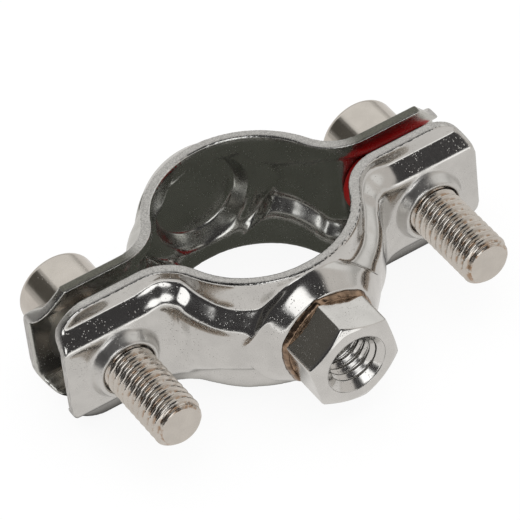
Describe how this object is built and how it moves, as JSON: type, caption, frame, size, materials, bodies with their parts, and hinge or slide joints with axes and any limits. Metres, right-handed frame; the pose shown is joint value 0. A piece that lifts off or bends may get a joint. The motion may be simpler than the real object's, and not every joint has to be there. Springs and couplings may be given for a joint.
{
  "type": "two-screw pipe clamp",
  "caption": "Two-piece stamped metal clamp that grips a pipe between channel-shaped halves, with two screws through its ears and a threaded boss for a hanging rod.",
  "frame": {"origin": "centre of the pipe bore, at half the height of the band", "axes": "+Z along the pipe, +X along the ears to the right, -Y to the welded nut and the screw tips, +Y to the screw heads"},
  "size_m": [0.0528, 0.0336, 0.0164],
  "materials": {
    "polished_sheet": "mirror-polished stainless sheet with sheared grey edges",
    "nut_steel": "bright machined steel nut, lightly polished flats",
    "weld_tint": "rippled weld with a brown and gold heat tint",
    "red_plastic": "smooth bright red plastic",
    "screw_steel": "bright steel with a warm nickel tone on the thread"
  },
  "bodies": {
    "front_half": {"front_shell": "polished_sheet", "weld_nut": "nut_steel", "weld_bead": "weld_tint"},
    "rear_half": {"rear_shell": "polished_sheet", "ear_spacer": "red_plastic"},
    "left_screw": {"left_screw": "screw_steel"},
    "right_screw": {"right_screw": "screw_steel"}
  },
  "joints": [
    {"name": "clamp_opening", "type": "slide", "parent": "front_half", "child": "rear_half", "axis": [0, 1, 0], "range_m": [0, 0.01]},
    {"name": "right_screw_turn", "type": "hinge", "parent": "rear_half", "child": "right_screw", "pos_m": [0.01945, 0, 0], "axis": [0, 1, 0], "range_deg": [0, 3600.1]},
    {"name": "left_screw_turn", "type": "hinge", "parent": "rear_half", "child": "left_screw", "pos_m": [-0.01945, 0, 0], "axis": [0, 1, 0], "range_deg": [0, 3600.1]}
  ],
  "couplings": [
    {"joint": "right_screw_turn", "follows": "clamp_opening", "rad_per_m": 6283.2},
    {"joint": "left_screw_turn", "follows": "clamp_opening", "rad_per_m": 6283.2}
  ]
}
